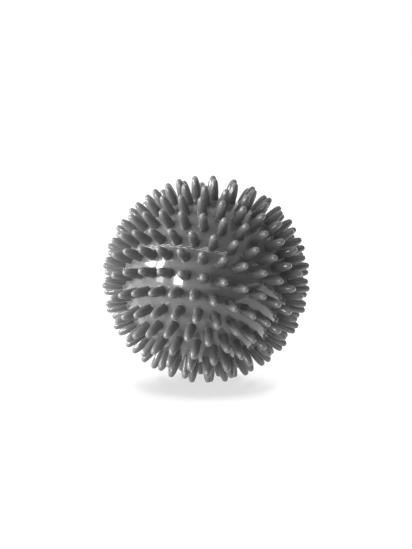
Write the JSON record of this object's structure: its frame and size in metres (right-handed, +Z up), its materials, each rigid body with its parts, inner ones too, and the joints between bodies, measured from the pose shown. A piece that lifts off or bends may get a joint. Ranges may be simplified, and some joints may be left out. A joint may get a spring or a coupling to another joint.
{
  "type": "spiky massage ball",
  "caption": "Hollow soft-plastic massage ball covered in blunt radial spikes, moulded as half shells joined at a lapped seam, with an air valve seat and a pull-out plug.",
  "frame": {"origin": "middle of the ball's footprint, on the floor under the spike tips that it lies on", "axes": "+Z up, -Y towards the picture's camera; the ball's own moulding axis leans back and to the right, with the valve at its upper pole"},
  "size_m": [0.0894, 0.0898, 0.0889],
  "materials": {
    "shell": "glossy moulded soft PVC, dark neutral grey",
    "valve_seat": "satin soft PVC, dark grey",
    "valve_plug": "half-gloss PVC, dark grey"
  },
  "bodies": {
    "ball": {"upper_shell": "shell", "lower_shell": "shell", "valve_seat": "valve_seat"},
    "plug": {"valve_plug": "valve_plug"}
  },
  "joints": [
    {"name": "plug_pull", "type": "slide", "parent": "ball", "child": "plug", "axis": [0.2083, 0.4791, 0.8527], "range_m": [0, 0.012]}
  ]
}
